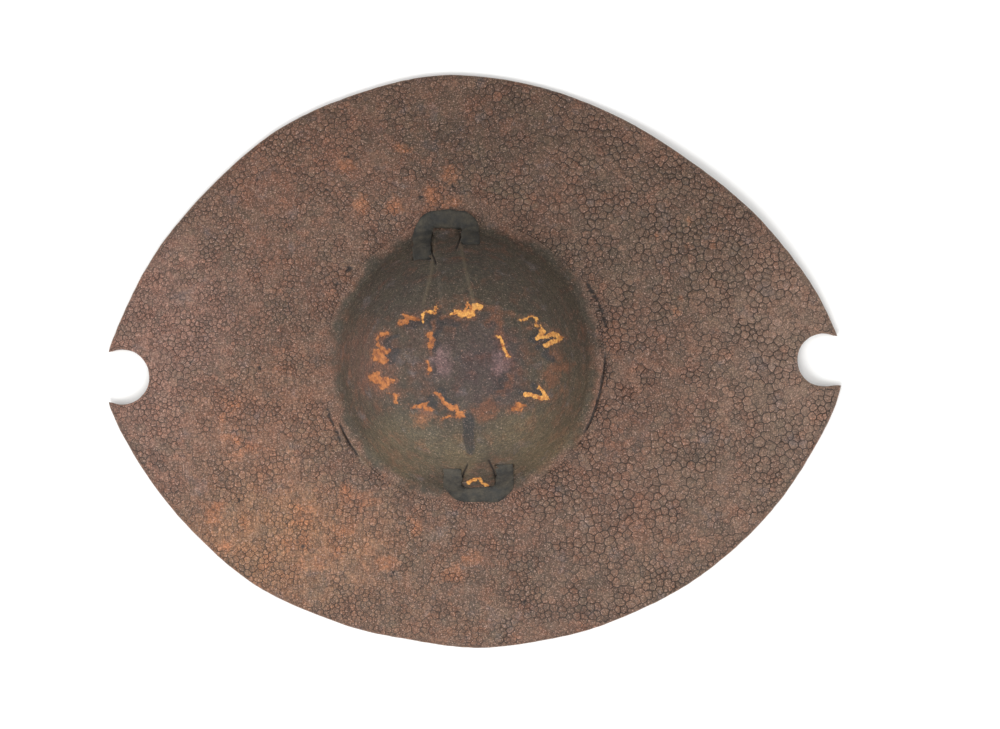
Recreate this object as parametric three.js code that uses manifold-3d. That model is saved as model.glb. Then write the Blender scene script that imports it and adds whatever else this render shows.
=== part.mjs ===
// A thick hide shield with a tall domed boss, a broad brim in the shape of a lens, a round
// notch in each pointed end, and a rawhide grip strap laced through the foot of the boss.
// It lies face up on its rim. Millimetres, +Z up, +X along the lens, front face upwards.
import * as THREE from "three";
import { mergeVertices } from "three/addons/utils/BufferGeometryUtils.js";
import Module from "manifold-3d";

// The edge of the hide as if its two points weren't notched, anticlockwise from the right point.
const OUTLINE = [
  [332, -6], [322, 32], [296, 79], [250, 134], [191, 182], [127, 221], [53, 248.5], [-30, 258],
  [-107, 241], [-176, 210], [-235, 161], [-286, 101], [-321, 34], [-334, -16], [-317, -67],
  [-269, -137], [-200, -200], [-120, -236.5], [-60, -250.5], [0, -258], [60, -251.5],
  [120, -235.5], [197, -197], [266, -135.5], [315, -60],
];

// lip is how far a notch's lower side runs out straight past its middle, 0 where it stays round.
const LEFT_NOTCH = { x: -318, y: -14, radius: 24.7, lip: 0 };
const RIGHT_NOTCH = { x: 313.4, y: 1.4, radius: 23.8, lip: 34 };
const LIP_RISE = 3; // how far that lip climbs to its tip
const NOTCH_SIDES = 40; // facets in a full round of a notch
const NOTCH_DEPTH = 80;

const BOSS_X = -9.5; // the boss stands a little left of the middle of the outline
const BOSS_STRETCH = 1.02; // the foot of the boss is this much taller than wide
const CROWN_RADIUS = 175;
const CROWN_ANGLE = 18.5; // degrees of slope where the crown turns into the shoulder
const SHOULDER_RADIUS = 50;
const WALL_ANGLE = 65; // degrees of slope of the wall
const WALL_DROP = 55;
const FILLET_RADIUS = 14;

const BOSS_HIDE = 5; // thickness of the hide
const BRIM_HIDE = 6;
const EDGE_HIDE = 4.5; // at the trimmed edge
const EDGE_BEVEL = 1.2;
const BRIM_RISE = 24; // fall of the brim from the boss to its edge
const BRIM_CURVE = 1.7; // power of that fall
const REST_LAND = 0.95; // share of the brim's width where the flat resting edge begins
const RIM_LIFT = 5; // the dried brim has sprung clear of the table on two sides
const RIM_LIFT_TURN = 0.5; // radians
const BRIM_WAVE = 1.4;
const BRIM_WAVES = 3;

const STRAP_WIDTH = 36; // across the back
const STRAP_THICK = 5;
const STRAP_LEVEL = 42; // middle of the strap above the table
const STRAP_FLAT = 44; // half the length of its level middle
const STRAP_END = 70; // half its length to where the tails leave it
const STRAP_END_RISE = 6;
const TAIL_WIDTH = 15;
const TAIL_THICK = 4.4;
const TAIL_SEAT = 1.2; // how deep the tails have pressed into the hide
const TAIL_SPREAD = 0.4; // share of the way to its slot that a tail starts from the strap's middle
const CLEARANCE = 0.45; // between hide and strap
const SLOT_EASE = 1.8; // more room than that round a tail where it goes through the hide
const LOOP_CORNER = 12; // bend of the loop's middle line where leg meets band
const STRIP_EDGE = 0.62; // thickness of a strip along its two long edges, as a share

// Each lacing: the places where its two legs go through the hide, how far out its band lies,
// and the tongue of hide between the legs: a point on its middle line, how that line leans and
// how it widens inwards, its half width, where it begins and is full, its free end and height.
// dir is +1 at the top of the shield and -1 at the bottom, and distances outwards count along it.
const LACINGS = [
  {
    dir: 1, legs: [[-46.5, 92], [-4, 106]], band: 127,
    tongue: {
      x: -24, out: 103, lean: 0.228, flare: 0.08, half: 11.5, begin: 30, full: 64, end: 119, rise: 2.6,
    },
  },
  {
    dir: -1, legs: [[-20, 97], [26, 93]], band: 117.5,
    tongue: {
      x: 3, out: 103, lean: 0, flare: 0, half: 10.5, begin: 74, full: 86, end: 111, rise: 2.4,
    },
  },
];

const SECTORS = 96; // facets round the hide
const STRAP_STEPS = 16;
const LACING_STEPS = 38;
const CORNER_STEPS = 4;

const HIDE_COLOUR = 0x5f4a3d;
const STRAP_COLOUR = 0x3a3a33;

const { degToRad, lerp, smoothstep, clamp } = THREE.MathUtils;

// The boss's profile as tangent arcs: crown, shoulder, straight wall and foot fillet. Each
// entry is [radius, drop below the top].
function bossProfile() {
  const profile = [[0, 0]];
  const shoulder = degToRad(CROWN_ANGLE);
  const wall = degToRad(WALL_ANGLE);
  const arc = (from, to, bend, steps) => {
    const [radius, drop] = profile[profile.length - 1];
    for (let i = 1; i <= steps; i++) {
      const slope = lerp(from, to, i / steps);
      const across = bend * (Math.sin(slope) - Math.sin(from));
      const down = bend * (Math.cos(from) - Math.cos(slope));
      profile.push([radius + across, drop + down]);
    }
  };
  arc(0, shoulder, CROWN_RADIUS, 12);
  arc(shoulder, wall, SHOULDER_RADIUS, 24);
  const [radius, drop] = profile[profile.length - 1];
  profile.push([radius + WALL_DROP / Math.tan(wall), drop + WALL_DROP]);
  arc(wall, 0, -FILLET_RADIUS, 16);
  return profile;
}

const PROFILE = bossProfile();
const [FOOT_RADIUS, BOSS_HEIGHT] = PROFILE[PROFILE.length - 1];

// The value of a sorted list of [key, value] pairs at a key between them.
function lookUp(pairs, key) {
  const i = pairs.findIndex(([k]) => k > key);
  if (i < 0) return pairs[pairs.length - 1][1];
  if (i === 0) return pairs[0][1];
  const [k0, v0] = pairs[i - 1];
  const [k1, v1] = pairs[i];
  return lerp(v0, v1, (key - k0) / (k1 - k0));
}

const outline = new THREE.CatmullRomCurve3(
  OUTLINE.map(([x, y]) => new THREE.Vector3(x, y, 0)), true, "catmullrom", 0.5,
);
const rays = outline
  .getPoints(1440)
  .map((p) => [Math.atan2(p.y, p.x - BOSS_X), Math.hypot(p.x - BOSS_X, p.y)])
  .sort((a, b) => a[0] - b[0]);

// Distances from the middle of the boss to the outline and to the boss's foot in one direction.
const reach = (angle) => lookUp(rays, angle);
const footReach = (angle) => FOOT_RADIUS / Math.hypot(Math.cos(angle), Math.sin(angle) / BOSS_STRETCH);

// Height that the pull of the grip has raised along each tongue of hide between its legs.
function tongueHeight(x, y) {
  let height = 0;
  for (const { dir, tongue: t } of LACINGS) {
    const out = dir * y;
    const inward = t.out - out;
    const along = smoothstep(out, t.begin, t.full) * (1 - smoothstep(out, t.end - 2, t.end + 1));
    const half = t.half + t.flare * inward;
    const aside = Math.abs(x - t.x - t.lean * inward);
    height += t.rise * along * (1 - smoothstep(aside, half - 1.5, half + 2.5));
  }
  return height;
}

// The brim's lift off the table, which fades out towards the boss and along two sides.
function lift(angle, share) {
  const side = Math.max(0, Math.sin(2 * angle + RIM_LIFT_TURN));
  return RIM_LIFT * share * share * side * side;
}

// Height of the front face over the table.
function front(x, y) {
  const angle = Math.atan2(y, x - BOSS_X);
  const foot = footReach(angle);
  const share = Math.max(0, (Math.hypot(x - BOSS_X, y) - foot) / (reach(angle) - foot));
  const fall = BRIM_RISE * Math.min(share, 1) ** BRIM_CURVE;
  const swell = 4 * share * Math.max(0, 1 - share);
  const wave = BRIM_WAVE * swell * Math.sin(BRIM_WAVES * angle + 0.8);
  const drop = lookUp(PROFILE, Math.hypot(x - BOSS_X, y / BOSS_STRETCH));
  return EDGE_HIDE + BRIM_RISE - fall + wave + lift(angle, share) + BOSS_HEIGHT - drop
    + tongueHeight(x, y);
}

function frontNormal(x, y) {
  const step = 0.5;
  const slopeX = (front(x + step, y) - front(x - step, y)) / (2 * step);
  const slopeY = (front(x, y + step) - front(x, y - step)) / (2 * step);
  return new THREE.Vector3(-slopeX, -slopeY, 1).normalize();
}

// A point this far out of the front face, or into the hide where depth is negative.
function offFront(x, y, depth) {
  return new THREE.Vector3(x, y, front(x, y)).addScaledVector(frontNormal(x, y), depth);
}

// A closed, position-only copy of a geometry, with faces that have collapsed left out.
function closed(geometry) {
  const bare = geometry.clone();
  bare.deleteAttribute("normal");
  bare.deleteAttribute("uv");
  const merged = mergeVertices(bare, 1e-4);
  const index = merged.index.array;
  const kept = [];
  for (let i = 0; i < index.length; i += 3) {
    const [a, b, c] = index.subarray(i, i + 3);
    if (a !== b && b !== c && c !== a) kept.push(a, b, c);
  }
  merged.setIndex(kept);
  return merged;
}

// Moves each vertex of a geometry to the place that a function gives for it.
function reshape(geometry, place) {
  const position = geometry.attributes.position;
  const vertex = new THREE.Vector3();
  for (let i = 0; i < position.count; i++) {
    const { x, y, z } = place(vertex.fromBufferAttribute(position, i));
    position.setXYZ(i, x, y, z);
  }
  return geometry;
}

// The hide before it is notched and slit. A lathe gives its rings and facets, and each vertex
// then goes to its place: up to 1 across, the boss, and from 1 to 2, the brim; height 1 is the
// front face, 0 the back, and between them the edge.
function hideBlank() {
  const boss = [0.2, 0.36, 0.48, 0.57, 0.64, 0.71, 0.805, 0.913, 0.955, 1];
  const brim = [1.3, 1.62, 1 + REST_LAND, 2];
  const across = [0, ...boss, ...brim];
  const profile = [
    ...across.map((u) => new THREE.Vector2(u, 0)),
    new THREE.Vector2(2, 0.5),
    ...[...across].reverse().map((u) => new THREE.Vector2(u, 1)),
  ];
  const blank = closed(new THREE.LatheGeometry(profile, SECTORS));
  return reshape(blank, (v) => placeOnHide(Math.atan2(-v.z, v.x), Math.hypot(v.x, v.z), v.y));
}

function placeOnHide(angle, across, layer) {
  const share = Math.max(0, across - 1);
  const atEdge = share > 0.999;
  const bevel = atEdge && layer !== 0.5 ? EDGE_BEVEL : 0;
  const radius = lerp(Math.min(across, 1) * footReach(angle), reach(angle), share) - bevel;
  const x = BOSS_X + radius * Math.cos(angle);
  const y = radius * Math.sin(angle);
  if (layer === 1) return offFront(x, y, 0);
  if (layer === 0.5) return new THREE.Vector3(x, y, lift(angle, 1) + EDGE_HIDE * layer);
  if (share > REST_LAND - 0.001) return new THREE.Vector3(x, y, lift(angle, share));
  return offFront(x, y, -lerp(BOSS_HIDE, BRIM_HIDE, Math.min(1, share * 4)));
}

// A notch's tool: a round hole, and beyond it the straight lower lip where there is one. Its
// facets are turned so that one of them lies square across the throat.
function notchTool({ x, y, radius, lip }) {
  const shape = new THREE.Shape();
  const start = -Math.PI / NOTCH_SIDES;
  const turn = lip ? 1.5 * Math.PI : 2 * Math.PI;
  shape.absarc(x, y, radius, start, start + turn, false);
  if (lip) {
    shape.lineTo(x + lip, y - radius + LIP_RISE);
    shape.lineTo(x + lip, y);
  }
  const curveSegments = (NOTCH_SIDES * turn) / (4 * Math.PI); // a shape doubles them on an arc
  const tool = new THREE.ExtrudeGeometry(shape, { depth: NOTCH_DEPTH, bevelEnabled: false, curveSegments });
  return tool.translate(0, 0, -NOTCH_DEPTH / 2);
}

// A flat strip that follows a path. sides holds, at each point of the path, the direction of
// the strip's width there. Its two long edges are thinner than its middle.
function strip({ points, sides }, width, thick, steps) {
  const route = new THREE.CatmullRomCurve3(points, false, "centripetal");
  const across = new THREE.CatmullRomCurve3(sides, false, "centripetal");
  return reshape(closed(new THREE.BoxGeometry(1, 1, 1, steps, 3, 1)), (v) => {
    const t = clamp(v.x + 0.5, 0, 1);
    const tangent = route.getTangent(t);
    const side = across.getPoint(t).projectOnPlane(tangent).normalize();
    const up = new THREE.Vector3().crossVectors(tangent, side);
    const edge = Math.abs(v.y) > 0.4 ? STRIP_EDGE : 1;
    return route.getPoint(t).addScaledVector(side, v.y * width).addScaledVector(up, v.z * thick * edge);
  });
}

// Across the shield, the middle of a lacing's two legs.
const lacingX = ({ legs }) => (legs[0][0] + legs[1][0]) / 2;

// The flat strap across the hollow of the boss, from the middle of one lacing to the other.
function strapRoute() {
  const [top, bottom] = LACINGS.map(lacingX);
  const slant = (top - bottom) / (LACINGS[0].band + LACINGS[1].band);
  const half = [0, STRAP_FLAT / 2, STRAP_FLAT, (STRAP_FLAT + STRAP_END) / 2, STRAP_END];
  const points = [];
  const sides = [];
  for (const y of [...half.slice(1).reverse().map((station) => -station), ...half]) {
    const rise = STRAP_END_RISE * smoothstep(Math.abs(y), STRAP_FLAT, STRAP_END);
    points.push(new THREE.Vector3((top + bottom) / 2 + slant * y, y, STRAP_LEVEL + rise));
    sides.push(new THREE.Vector3(1, -slant, 0));
  }
  return { points, sides };
}

// One lacing: from the strap's end through the hide, out along one leg, across the band beyond
// the tongue, back along the other leg and through the hide again. Each half is laid from its
// leg's slot to the middle of the band, and the second is then turned round.
function lacingRoute(lacing) {
  const first = halfLacing(lacing, 0);
  const second = halfLacing(lacing, 1);
  second.points.reverse();
  second.sides.reverse();
  return {
    points: [...first.points, ...second.points.slice(1)],
    sides: [...first.sides, ...second.sides.slice(1).map((side) => side.negate())],
  };
}

function halfLacing(lacing, leg) {
  const { dir, band, legs } = lacing;
  const [x, out] = legs[leg];
  const middle = lacingX(lacing);
  const inward = Math.sign(middle - x);
  const lay = TAIL_THICK / 2 - TAIL_SEAT;
  const acrossLeg = new THREE.Vector3(-dir, 0, 0);
  const start = lerp(middle, x, TAIL_SPREAD);
  const points = [new THREE.Vector3(start, dir * (STRAP_END - 8), STRAP_LEVEL + STRAP_END_RISE - 1)];
  const sides = [acrossLeg];
  const add = (px, pOut, depth, side) => {
    points.push(offFront(px, dir * pOut, depth));
    sides.push(side.clone().projectOnPlane(frontNormal(px, dir * pOut)).normalize());
  };
  for (const depth of [-2.2, -1, -0.5]) add(x, out - 1, depth * BOSS_HIDE, acrossLeg);
  add(x, out + 2, lay * 0.4, acrossLeg);
  add(x, out + 6, lay, acrossLeg);
  add(x, (out + 6 + band - LOOP_CORNER) / 2, lay, acrossLeg);
  for (let i = 0; i <= CORNER_STEPS; i++) {
    const turn = (i * Math.PI) / (2 * CORNER_STEPS);
    const cornerX = x + inward * LOOP_CORNER * (1 - Math.cos(turn));
    const cornerOut = band - LOOP_CORNER * (1 - Math.sin(turn));
    const side = new THREE.Vector3(-dir * Math.cos(turn), inward * Math.sin(turn), 0);
    add(cornerX, cornerOut, lay, side);
  }
  add(middle, band, lay, new THREE.Vector3(0, inward, 0));
  return { points, sides };
}

// The straight slot through the hide at the inner end of one leg.
function slotRoute(x, y) {
  const width = new THREE.Vector3(1, 0, 0);
  return { points: [offFront(x, y, TAIL_THICK), offFront(x, y, -2 * BOSS_HIDE)], sides: [width, width] };
}

const manifold = await Module();
manifold.setup();

// three.js geometry to a manifold-3d solid and back.
function solid(geometry) {
  const { index, attributes } = closed(geometry);
  const mesh = new manifold.Mesh({
    numProp: 3,
    vertProperties: attributes.position.array,
    triVerts: new Uint32Array(index.array),
  });
  return new manifold.Manifold(mesh);
}

function geometryOf(made) {
  const { vertProperties, triVerts } = made.getMesh();
  const geometry = new THREE.BufferGeometry();
  geometry.setAttribute("position", new THREE.BufferAttribute(vertProperties, 3));
  geometry.setIndex(new THREE.BufferAttribute(triVerts, 1));
  geometry.computeVertexNormals();
  return geometry;
}

function makeHide() {
  let hide = solid(hideBlank());
  for (const notch of [LEFT_NOTCH, RIGHT_NOTCH]) hide = hide.subtract(solid(notchTool(notch)));
  const wide = TAIL_WIDTH + 2 * CLEARANCE;
  const thick = TAIL_THICK + 3 * CLEARANCE;
  for (const lacing of LACINGS) {
    hide = hide.subtract(solid(strip(lacingRoute(lacing), wide, thick, LACING_STEPS)));
    for (const [x, out] of lacing.legs) {
      const route = slotRoute(x, lacing.dir * (out - 1));
      hide = hide.subtract(solid(strip(route, wide + SLOT_EASE, thick + SLOT_EASE, 1)));
    }
  }
  return geometryOf(hide);
}

function makeStrap() {
  let strap = solid(strip(strapRoute(), STRAP_WIDTH, STRAP_THICK, STRAP_STEPS));
  for (const lacing of LACINGS) {
    strap = strap.add(solid(strip(lacingRoute(lacing), TAIL_WIDTH, TAIL_THICK, LACING_STEPS)));
  }
  return geometryOf(strap);
}

const shield = new THREE.Group();

const hide = new THREE.Mesh(
  makeHide(),
  new THREE.MeshStandardMaterial({ color: HIDE_COLOUR, roughness: 0.62, metalness: 0 }),
);
hide.name = "shield_hide";
shield.add(hide);

const strap = new THREE.Mesh(
  makeStrap(),
  new THREE.MeshStandardMaterial({ color: STRAP_COLOUR, roughness: 0.8, metalness: 0 }),
);
strap.name = "grip_strap";
shield.add(strap);

// The origin is under the middle of the shield, on the table.
hide.geometry.computeBoundingBox();
const { min, max } = hide.geometry.boundingBox;
shield.position.set(-(min.x + max.x) / 2, -(min.y + max.y) / 2, -min.z);

export default shield;
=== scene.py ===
"""The hide shield, seen from straight above as it lies on a pale floor.

Lengths are in millimetres in the shield's own plan, x along the lens and y across it, measured
from the middle of its outline. The meshes are scaled to metres when they are made.
"""

import math

import bpy
import numpy as np
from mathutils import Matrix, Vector
from mathutils.geometry import delaunay_2d_cdt


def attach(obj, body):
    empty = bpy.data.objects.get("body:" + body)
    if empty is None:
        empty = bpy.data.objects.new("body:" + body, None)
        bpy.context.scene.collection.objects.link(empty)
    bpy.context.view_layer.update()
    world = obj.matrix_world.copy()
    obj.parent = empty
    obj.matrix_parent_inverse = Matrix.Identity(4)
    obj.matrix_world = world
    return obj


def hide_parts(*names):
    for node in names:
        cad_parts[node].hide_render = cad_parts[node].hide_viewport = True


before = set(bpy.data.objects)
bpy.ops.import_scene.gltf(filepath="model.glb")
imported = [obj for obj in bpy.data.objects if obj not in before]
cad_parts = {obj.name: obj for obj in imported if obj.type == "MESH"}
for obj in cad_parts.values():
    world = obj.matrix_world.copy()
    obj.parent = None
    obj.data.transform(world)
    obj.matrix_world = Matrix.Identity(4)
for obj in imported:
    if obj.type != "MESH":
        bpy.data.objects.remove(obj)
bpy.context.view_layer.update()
shift = np.array([0.379, -0.104, 0.0])  # from the drawing's origin to the middle of the hide's box

# ---------------------------------------------------------------------------- sizes

OUTLINE = [
    (332, -6), (322, 32), (296, 79), (250, 134), (191, 182), (127, 221), (53, 248.5), (-30, 258),
    (-107, 241), (-176, 210), (-235, 161), (-286, 101), (-321, 34), (-334, -16), (-317, -67),
    (-269, -137), (-200, -200), (-120, -236.5), (-60, -250.5), (0, -258), (60, -251.5),
    (120, -235.5), (197, -197), (266, -135.5), (315, -60),
]
LEFT_NOTCH = {"x": -318, "y": -14, "radius": 24.7, "lip": 0}
RIGHT_NOTCH = {"x": 313.4, "y": 1.4, "radius": 23.8, "lip": 34}
LIP_RISE = 3

BOSS_X = -9.5
BOSS_STRETCH = 1.02
CROWN_RADIUS, CROWN_ANGLE = 175, 18.5
SHOULDER_RADIUS = 50
WALL_ANGLE, WALL_DROP = 65, 55
FILLET_RADIUS = 14

BOSS_HIDE, BRIM_HIDE, EDGE_HIDE = 5, 6, 4.5
BRIM_RISE, BRIM_CURVE = 24, 1.7
REST_LAND = 0.95
RIM_LIFT, RIM_LIFT_TURN = 5, 0.5
BRIM_WAVE, BRIM_WAVES = 1.4, 3

STRAP_WIDTH, STRAP_THICK = 36, 5
STRAP_LEVEL, STRAP_FLAT = 42, 44
STRAP_END, STRAP_END_RISE = 70, 6
TAIL_WIDTH, TAIL_THICK, TAIL_SEAT = 15, 4.4, 1.2
TAIL_SPREAD = 0.4
LOOP_CORNER = 12

LACINGS = [
    {"dir": 1, "legs": [(-46.5, 92), (-4, 106)], "band": 127,
     "tongue": {"x": -24, "out": 103, "lean": 0.228, "flare": 0.08, "half": 11.5,
                "begin": 30, "full": 64, "end": 119, "rise": 2.6}},
    {"dir": -1, "legs": [(-20, 97), (26, 93)], "band": 117.5,
     "tongue": {"x": 3, "out": 103, "lean": 0, "flare": 0, "half": 10.5,
                "begin": 74, "full": 86, "end": 111, "rise": 2.4}},
]


# ---------------------------------------------------------------------------- small helpers

def smooth(v, low, high):
    t = np.clip((np.asarray(v, float) - low) / (high - low), 0, 1)
    return t * t * (3 - 2 * t)


def mix(a, b, t):
    return a + (b - a) * t


LATTICE = np.random.default_rng(11).random((256, 256))


def noise(x, y, pitch, seed=0):
    """Smooth value noise from -1 to 1 with one lump per pitch."""
    u = np.asarray(x, float) / pitch + 37.7 * seed + 1000
    v = np.asarray(y, float) / pitch + 91.3 * seed + 1000
    i, j = np.floor(u).astype(int), np.floor(v).astype(int)
    a, b = u - i, v - j
    a, b = a * a * (3 - 2 * a), b * b * (3 - 2 * b)
    at = lambda p, q: LATTICE[p % 256, q % 256]
    low = mix(at(i, j), at(i + 1, j), a)
    high = mix(at(i, j + 1), at(i + 1, j + 1), a)
    return 2 * mix(low, high, b) - 1


def fbm(x, y, pitch, seed=0, octaves=4):
    total, share = 0, 0.5
    for k in range(octaves):
        total = total + share * noise(x, y, pitch / 2 ** k, seed + 5 * k)
        share /= 2
    return total


def along(x, y, line):
    """Distance of each place from a line through points, and how far along it, from 0 to 1."""
    line = np.array(line, float)
    best = np.full(np.shape(x), 1e9)
    where = np.zeros(np.shape(x))
    lengths = np.hypot(*(line[1:] - line[:-1]).T)
    start, total = 0, lengths.sum()
    for (x0, y0), (x1, y1), length in zip(line[:-1], line[1:], lengths):
        t = np.clip(((x - x0) * (x1 - x0) + (y - y0) * (y1 - y0)) / length ** 2, 0, 1)
        gap = np.hypot(x - x0 - t * (x1 - x0), y - y0 - t * (y1 - y0))
        closer = gap < best
        best = np.where(closer, gap, best)
        where = np.where(closer, (start + t * length) / total, where)
        start += length
    return best, where


# ---------------------------------------------------------------------------- the hide's form

def boss_profile():
    profile = [(0, 0)]

    def arc(start, end, bend, steps):
        radius, drop = profile[-1]
        for k in range(1, steps + 1):
            slope = mix(start, end, k / steps)
            profile.append((radius + bend * (math.sin(slope) - math.sin(start)),
                            drop + bend * (math.cos(start) - math.cos(slope))))

    shoulder, wall = math.radians(CROWN_ANGLE), math.radians(WALL_ANGLE)
    arc(0, shoulder, CROWN_RADIUS, 24)
    arc(shoulder, wall, SHOULDER_RADIUS, 48)
    radius, drop = profile[-1]
    profile.append((radius + WALL_DROP / math.tan(wall), drop + WALL_DROP))
    arc(wall, 0, -FILLET_RADIUS, 32)
    return np.array(profile)


PROFILE = boss_profile()
FOOT_RADIUS, BOSS_HEIGHT = PROFILE[-1]
PROFILE_RUN = np.concatenate([[0], np.cumsum(np.hypot(*np.diff(PROFILE, axis=0).T))])


def closed_curve(points, steps):
    """Uniform Catmull-Rom curve through a closed list of points."""
    points = np.array(points, float)
    before, after, later = (np.roll(points, k, 0) for k in (1, -1, -2))
    t = (np.arange(steps) / steps)[None, :, None]
    p0, p1, p2, p3 = (p[:, None, :] for p in (before, points, after, later))
    v0, v1 = (p2 - p0) / 2, (p3 - p1) / 2
    curve = ((2 * p1 - 2 * p2 + v0 + v1) * t ** 3 + (-3 * p1 + 3 * p2 - 2 * v0 - v1) * t ** 2
             + v0 * t + p1)
    return curve.reshape(-1, 2)


RIM = closed_curve(OUTLINE, 58)
RAYS = np.array(sorted(zip(np.arctan2(RIM[:, 1], RIM[:, 0] - BOSS_X),
                           np.hypot(RIM[:, 0] - BOSS_X, RIM[:, 1]))))


def reach(angle):
    return np.interp(angle, RAYS[:, 0], RAYS[:, 1], period=2 * math.pi)


def foot_reach(angle):
    return FOOT_RADIUS / np.hypot(np.cos(angle), np.sin(angle) / BOSS_STRETCH)


def brim_share(x, y):
    """The direction of a place from the boss, and how far across the brim it lies."""
    angle = np.arctan2(y, x - BOSS_X)
    foot = foot_reach(angle)
    return angle, np.maximum(0, (np.hypot(x - BOSS_X, y) - foot) / (reach(angle) - foot))


def boss_radius(x, y):
    return np.hypot(x - BOSS_X, y / BOSS_STRETCH)


def tongue_height(x, y):
    height = 0
    for lacing in LACINGS:
        t = lacing["tongue"]
        out = lacing["dir"] * y
        inward = t["out"] - out
        run = smooth(out, t["begin"], t["full"]) * (1 - smooth(out, t["end"] - 2, t["end"] + 1))
        half = t["half"] + t["flare"] * inward
        aside = np.abs(x - t["x"] - t["lean"] * inward)
        height = height + t["rise"] * run * (1 - smooth(aside - half, -1.5, 2.5))
    return height


def lift(angle, share):
    side = np.maximum(0, np.sin(2 * angle + RIM_LIFT_TURN))
    return RIM_LIFT * share ** 2 * side ** 2


def front(x, y):
    angle, share = brim_share(x, y)
    fall = BRIM_RISE * np.minimum(share, 1) ** BRIM_CURVE
    swell = 4 * share * np.maximum(0, 1 - share)
    wave = BRIM_WAVE * swell * np.sin(BRIM_WAVES * angle + 0.8)
    drop = np.interp(boss_radius(x, y), PROFILE[:, 0], PROFILE[:, 1])
    return (EDGE_HIDE + BRIM_RISE - fall + wave + lift(angle, share) + BOSS_HEIGHT - drop
            + tongue_height(x, y))


def front_normal(x, y):
    step = 0.5
    slope_x = (front(x + step, y) - front(x - step, y)) / (2 * step)
    slope_y = (front(x, y + step) - front(x, y - step)) / (2 * step)
    normal = np.stack([-slope_x, -slope_y, np.ones_like(slope_x)], -1)
    return normal / np.linalg.norm(normal, axis=-1, keepdims=True)


def off_front(x, y, depth):
    x, y = np.asarray(x, float), np.asarray(y, float)
    point = np.stack([x, y, front(x, y)], -1)
    return point + front_normal(x, y) * np.asarray(depth, float)[..., None]


def back_place(x, y):
    angle, share = brim_share(x, y)
    thick = mix(BOSS_HIDE, BRIM_HIDE, np.minimum(1, share * 4))
    point = off_front(x, y, -thick)
    land = smooth(share, REST_LAND - 0.03, REST_LAND)
    flat = np.stack([x, y, lift(angle, share)], -1)
    return mix(point, flat, land[..., None])


# ---------------------------------------------------------------------------- loops in plan

RIM_INSET = 1.1  # of the front face's edge from the cut edge
NOTCH_INSET = 0.6
RIM_STEP, NOTCH_STEP, SLOT_STEP = 4.6, 2.2, 1.7


def resample(line, step, closed=False):
    line = np.array(line, float)
    if closed:
        line = np.vstack([line, line[:1]])
    run = np.concatenate([[0], np.cumsum(np.hypot(*(line[1:] - line[:-1]).T))])
    count = max(2, int(round(run[-1] / step)))
    at = np.linspace(0, run[-1], count + 1)
    even = np.stack([np.interp(at, run, line[:, k]) for k in (0, 1)], 1)
    return even[:-1] if closed else even


def in_notch(x, y, notch, grow):
    radius = notch["radius"] + grow
    inside = np.hypot(x - notch["x"], y - notch["y"]) < radius
    if notch["lip"]:
        along_lip = (x - notch["x"]) / notch["lip"]
        lip = notch["y"] - radius + LIP_RISE * along_lip
        inside |= (along_lip > 0) & (y > lip) & (y < notch["y"])
    return inside


def notch_path(notch, grow):
    """The cut's edge through the hide, from where the rim meets its lower side to its upper."""
    radius = notch["radius"] + grow
    if notch["lip"]:
        turn = np.radians(np.arange(-90, -360, -0.5))
        run = np.linspace(1.1, 0, 120)[:-1, None]
        path = np.array([[notch["x"], notch["y"] - radius]]) + run * [notch["lip"], LIP_RISE]
    else:
        turn = np.radians(np.arange(180, -180, -0.5))
        path = np.zeros((0, 2))
    circle = np.stack([notch["x"] + radius * np.cos(turn), notch["y"] + radius * np.sin(turn)], 1)
    return np.vstack([path, circle])


def hide_loop():
    """Anticlockwise edge of the front face, and whether each point is on the rim or a notch."""
    turn = np.linspace(0, 2 * math.pi, 7200, endpoint=False)
    radius = reach(turn) - RIM_INSET
    rim = np.stack([BOSS_X + radius * np.cos(turn), radius * np.sin(turn)], 1)
    cut = {name: in_notch(rim[:, 0], rim[:, 1], notch, NOTCH_INSET)
           for name, notch in (("left", LEFT_NOTCH), ("right", RIGHT_NOTCH))}
    left = np.flatnonzero(cut["left"])
    right = cut["right"]
    top = np.flatnonzero(~right)[0]
    bottom = np.flatnonzero(~right)[-1]
    pieces = []
    for run, step, kind in (
        (rim[top:left[0]], RIM_STEP, 0),
        (inside_rim(notch_path(LEFT_NOTCH, NOTCH_INSET)), NOTCH_STEP, 1),
        (rim[left[-1] + 1:bottom + 1], RIM_STEP, 0),
        (inside_rim(notch_path(RIGHT_NOTCH, NOTCH_INSET)), NOTCH_STEP, 1),
    ):
        even = resample(run, step)
        pieces.append((even, kind))
    points, kinds = [], []
    for even, kind in pieces:
        keep = even[1:-1] if kind else even
        points.append(keep)
        kinds.append(np.full(len(keep), kind))
    return np.vstack(points), np.concatenate(kinds)


def inside_rim(path):
    angle = np.arctan2(path[:, 1], path[:, 0] - BOSS_X)
    return path[np.hypot(path[:, 0] - BOSS_X, path[:, 1]) < reach(angle) - RIM_INSET - 0.15]


SLOT_HALF_WIDTH, SLOT_HALF_RUN = 8.6, 1.5


def slot_loop(x, y):
    """Clockwise edge of the narrow slot that one leg of a lacing comes out of."""
    w, r = SLOT_HALF_WIDTH, SLOT_HALF_RUN
    corners = [(-w, 0), (-w + 0.8, r), (w - 0.8, r), (w, 0), (w - 0.8, -r), (-w + 0.8, -r)]
    return resample([(x + a, y + b) for a, b in corners], SLOT_STEP, closed=True)


def inside(points, loop):
    """Whether each point lies within a closed loop."""
    result = np.zeros(len(points), bool)
    for (x0, y0), (x1, y1) in zip(loop, np.roll(loop, -1, 0)):
        if y0 == y1:
            continue
        spans = (points[:, 1] > min(y0, y1)) & (points[:, 1] <= max(y0, y1))
        cross = x0 + (points[:, 1] - y0) * (x1 - x0) / (y1 - y0)
        result ^= spans & (points[:, 0] < cross)
    return result


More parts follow.
